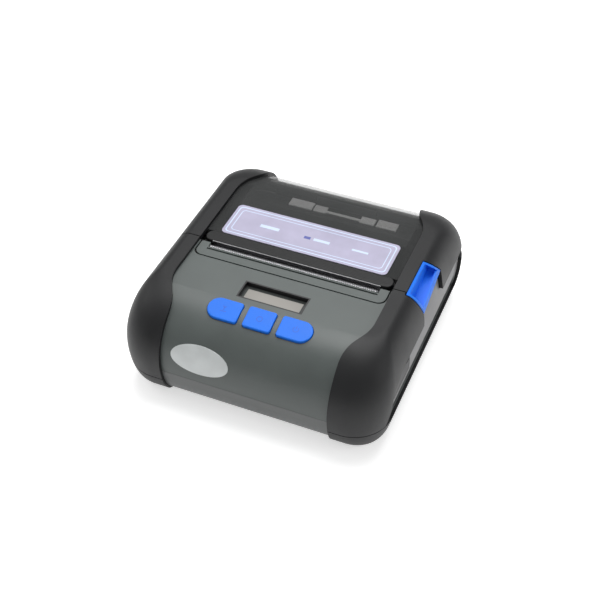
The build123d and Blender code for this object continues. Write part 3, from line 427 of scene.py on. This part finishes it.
def label_art():
    """Plain double border and a few bars on the label."""
    low, high = box_mm("lid_label")
    cx, cy = [(low[i] + high[i]) / 2 for i in (0, 1)]
    half_x, half_y = [(high[i] - low[i]) / 2 for i in (0, 1)]
    top = high[2]
    z0, z1 = top - LABEL_LIFT, top + LABEL_LIFT
    for line, (inset, width) in LABEL_BORDERS.items():
        far = inset + width
        outer = rounded(cx, cy, half_x - inset, half_y - inset, BORDER_CORNER_OUTER)
        inner = rounded(cx, cy, half_x - far, half_y - far, BORDER_CORNER_INNER)
        ring(f"label_border_{line}", outer, inner, z0, z1, "label_pale", "lid")
    for i, (x0, x1, half, look) in enumerate(LABEL_BARS):
        corner = (x1, cy + half, top + LABEL_BAR_HEIGHT)
        block(f"label_bar_{i}", (x0, cy - half, top), corner, look, "lid")


def key_frame(x):
    """Place on top of a key, whose plane leans forward."""
    lean = Matrix.Rotation(math.radians(KEY_TILT), 4, "X")
    return Matrix.Translation((x, KEY_Y, KEY_TOP)) @ lean


def mark_bar(name, corners, key, place):
    """Flat bar of a mark between two corners on a key's top."""
    low, high = corners
    block(name, (*low, 0), (*high, MARK_HEIGHT), "key_mark", key, place)


def mark_arc(name, span, key, place, steps=14):
    """Flat arc of a mark between two angles on a key's top."""
    outer = arc_points(0, 0, MARK_RADIUS + MARK_LINE / 2, *span, steps)
    inner = arc_points(0, 0, MARK_RADIUS - MARK_LINE / 2, *span, steps)
    outline = outer + inner[::-1]
    m = len(outline)
    vertices = [place @ Vector((x, y, z)) for z in (0.0, MARK_HEIGHT) for x, y in outline]
    faces = [(i, (i + 1) % m, m + (i + 1) % m, m + i) for i in range(m)]
    for i in range(steps):
        quad = (i, i + 1, m - 2 - i, m - 1 - i)
        faces.append(tuple(m + q for q in quad))
        faces.append(tuple(reversed(quad)))
    piece(name, vertices, faces, "key_mark", key)


def key_marks():
    """Plain marks on the keys: feed arrow, ring, power."""
    feed = key_frame(-KEY_X)
    mark_bar("mark_feed_sheet", FEED_SHEET, "feed", feed)
    mark_bar("mark_feed_stem", FEED_STEM, "feed", feed)
    for side in (-1, 1):
        shift = Matrix.Translation((side * FEED_HEAD_X, FEED_HEAD_Y, 0))
        turn = Matrix.Rotation(side * math.radians(FEED_HEAD_TURN), 4, "Z")
        mark_bar(f"mark_feed_head_{side + 1}", FEED_HEAD, "feed", feed @ shift @ turn)
    mark_arc("mark_select_ring", SELECT_RING, "select", key_frame(0))
    power = key_frame(KEY_X)
    mark_arc("mark_power_arc", POWER_ARC, "power", power)
    mark_bar("mark_power_bar", POWER_BAR, "power", power)


def display():
    """Pale pane in the dark display window; the dark margins left around it are partly the display's frame
    and partly painted shade of the recess, widest at the rear.
    """
    (x0, y0, _), (x1, y1, top) = box_mm("lcd_glass")
    low = (x0 + PANE_SIDE, y0 + PANE_FRONT, top)
    high = (x1 - PANE_SIDE, y1 - PANE_REAR, top + PANE_HEIGHT)
    block("lcd_pane", low, high, "pane", "base")


def under_window():
    """Pale plates seen dimly through the cover."""
    top = box_mm("lid_window")[1][2] - PLATE_DEPTH
    for i, (x0, x1, y0, y1) in enumerate(PLATES):
        low = (x0, y0, top - PLATE_THICK)
        # Pale blocks set where pale patches show through the cover
        block(f"pale_plate_{i}", low, (x1, y1, top), "paper", "lid")


def board_parts():
    """Two dark chips on the main board."""
    for name, (low, high, height) in CHIPS.items():
        corner = (*high, BOARD_TOP + height)
        block(name, (*low, BOARD_TOP), corner, "chip", "base")


# Stage

def floor():
    """Large pale floor that shows as white around the object and keeps its shadow."""
    bpy.ops.mesh.primitive_plane_add(size=FLOOR_SIZE, location=(0, 0, -FLOOR_DROP))
    plane = bpy.context.object
    plane.name = "floor"
    material, principled = shader("floor", FLOOR_COLOUR, FLOOR_ROUGH)
    tree = material.node_tree
    out = tree.nodes["Material Output"]
    glow = tree.nodes.new("ShaderNodeEmission")
    glow.inputs["Color"].default_value = WHITE
    glow.inputs["Strength"].default_value = FLOOR_GLOW
    add = tree.nodes.new("ShaderNodeAddShader")
    mix = tree.nodes.new("ShaderNodeMixShader")
    path = tree.nodes.new("ShaderNodeLightPath")
    seen = tree.nodes.new("ShaderNodeMath")
    seen.operation = "MAXIMUM"
    clear = tree.nodes.new("ShaderNodeMath")
    clear.operation = "MAXIMUM"
    tree.links.new(path.outputs["Is Camera Ray"], seen.inputs[0])
    tree.links.new(path.outputs["Is Glossy Ray"], seen.inputs[1])
    tree.links.new(seen.outputs[0], clear.inputs[0])
    tree.links.new(path.outputs["Is Transmission Ray"], clear.inputs[1])
    tree.links.new(principled.outputs[0], add.inputs[0])
    tree.links.new(glow.outputs[0], add.inputs[1])
    tree.links.new(clear.outputs[0], mix.inputs["Fac"])
    tree.links.new(principled.outputs[0], mix.inputs[1])
    tree.links.new(add.outputs[0], mix.inputs[2])
    tree.links.new(mix.outputs[0], out.inputs["Surface"])
    plane.data.materials.append(material)


def world():
    """Even pale surroundings, white where the camera sees them."""
    scene_world = bpy.data.worlds.new("world")
    bpy.context.scene.world = scene_world
    scene_world.use_nodes = True
    tree = scene_world.node_tree
    background = tree.nodes["Background"]
    background.inputs["Color"].default_value = WHITE
    background.inputs["Strength"].default_value = WORLD_LEVEL
    white = tree.nodes.new("ShaderNodeBackground")
    white.inputs["Color"].default_value = WHITE
    white.inputs["Strength"].default_value = 1.0
    path = tree.nodes.new("ShaderNodeLightPath")
    mix = tree.nodes.new("ShaderNodeMixShader")
    tree.links.new(path.outputs["Is Camera Ray"], mix.inputs["Fac"])
    tree.links.new(background.outputs[0], mix.inputs[1])
    tree.links.new(white.outputs[0], mix.inputs[2])
    tree.links.new(mix.outputs[0], tree.nodes["World Output"].inputs["Surface"])


def softbox(name, place, size, power):
    """Square lamp that faces the object."""
    data = bpy.data.lights.new(name, "AREA")
    data.energy = power
    data.size = size
    lamp = bpy.data.objects.new(name, data)
    lamp.location = place
    lamp.rotation_euler = Vector(place).to_track_quat("Z", "Y").to_euler()
    bpy.context.scene.collection.objects.link(lamp)


def camera():
    """Camera that sees the object as the photo does."""
    data = bpy.data.cameras.new("camera")
    data.lens = CAMERA_LENS
    data.sensor_width = CAMERA_SENSOR
    data.clip_start = CAMERA_NEAR
    obj = bpy.data.objects.new("camera", data)
    obj.location = CAMERA_PLACE
    obj.rotation_euler = (math.radians(CAMERA_TILT), 0, math.radians(CAMERA_TURN))
    bpy.context.scene.collection.objects.link(obj)
    bpy.context.scene.camera = obj


dress_nodes()
label_art()
key_marks()
display()
under_window()
board_parts()
floor()
world()
for lamp_values in LAMPS:
    softbox(*lamp_values)
camera()
bpy.context.scene.view_settings.view_transform = "Standard"
